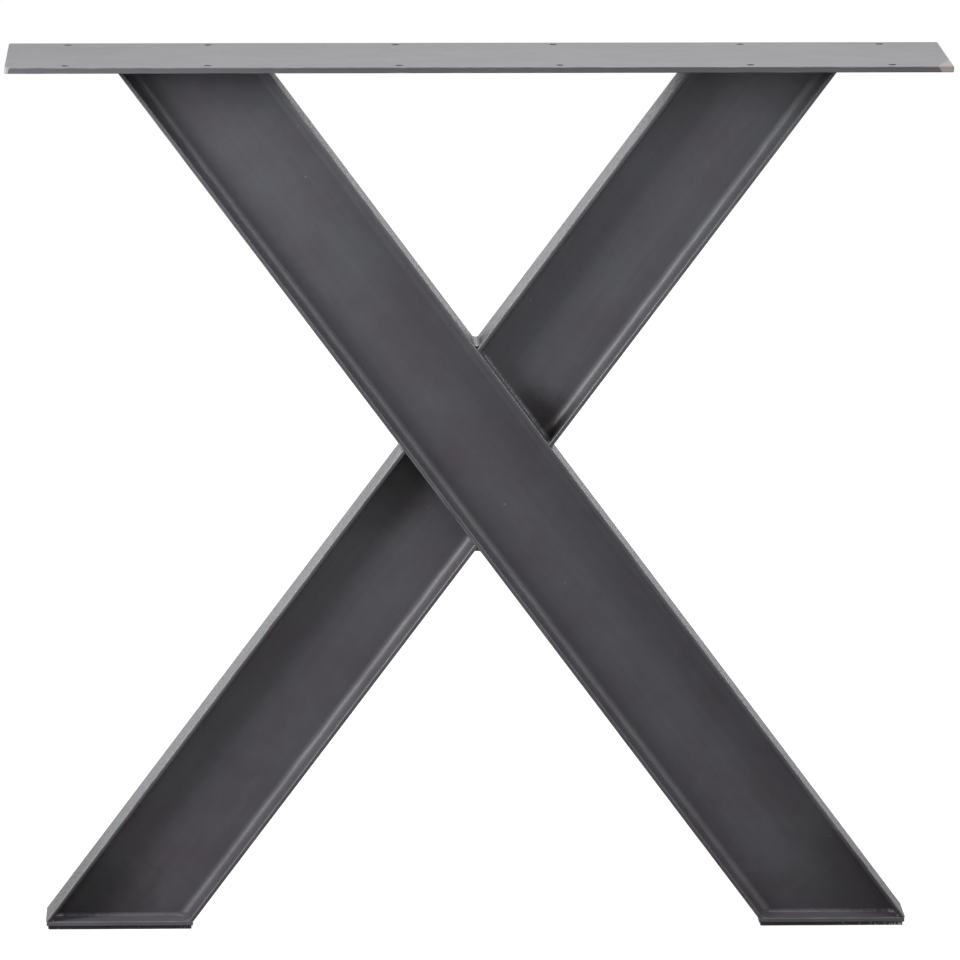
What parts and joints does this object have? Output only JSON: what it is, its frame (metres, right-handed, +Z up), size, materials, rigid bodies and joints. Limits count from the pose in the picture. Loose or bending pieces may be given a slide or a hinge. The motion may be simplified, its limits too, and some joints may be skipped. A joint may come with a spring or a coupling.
{
  "type": "x shaped table leg",
  "caption": "X shaped steel table leg: a flat mounting plate on crossed I-section beams, welded, with padded foot plates.",
  "frame": {"origin": "on the floor, under the middle of the mounting plate", "axes": "+Z up, +X along the mounting plate, +Y across it, away from the side that the picture shows"},
  "size_m": [0.78, 0.15, 0.74],
  "materials": {
    "lacquered_steel": "dark anthracite satin lacquer over rolled steel",
    "weld_metal": "weld beads under the same dark satin lacquer",
    "pad_rubber": "matt black"
  },
  "bodies": {
    "root": {"top_plate": "lacquered_steel", "long_beam": "lacquered_steel", "upper_short_beam": "lacquered_steel", "lower_short_beam": "lacquered_steel", "left_foot_plate": "lacquered_steel", "right_foot_plate": "lacquered_steel", "crossing_welds": "weld_metal", "left_foot_welds": "weld_metal", "right_foot_welds": "weld_metal", "top_welds": "weld_metal", "left_foot_pad": "pad_rubber", "right_foot_pad": "pad_rubber"}
  },
  "joints": []
}
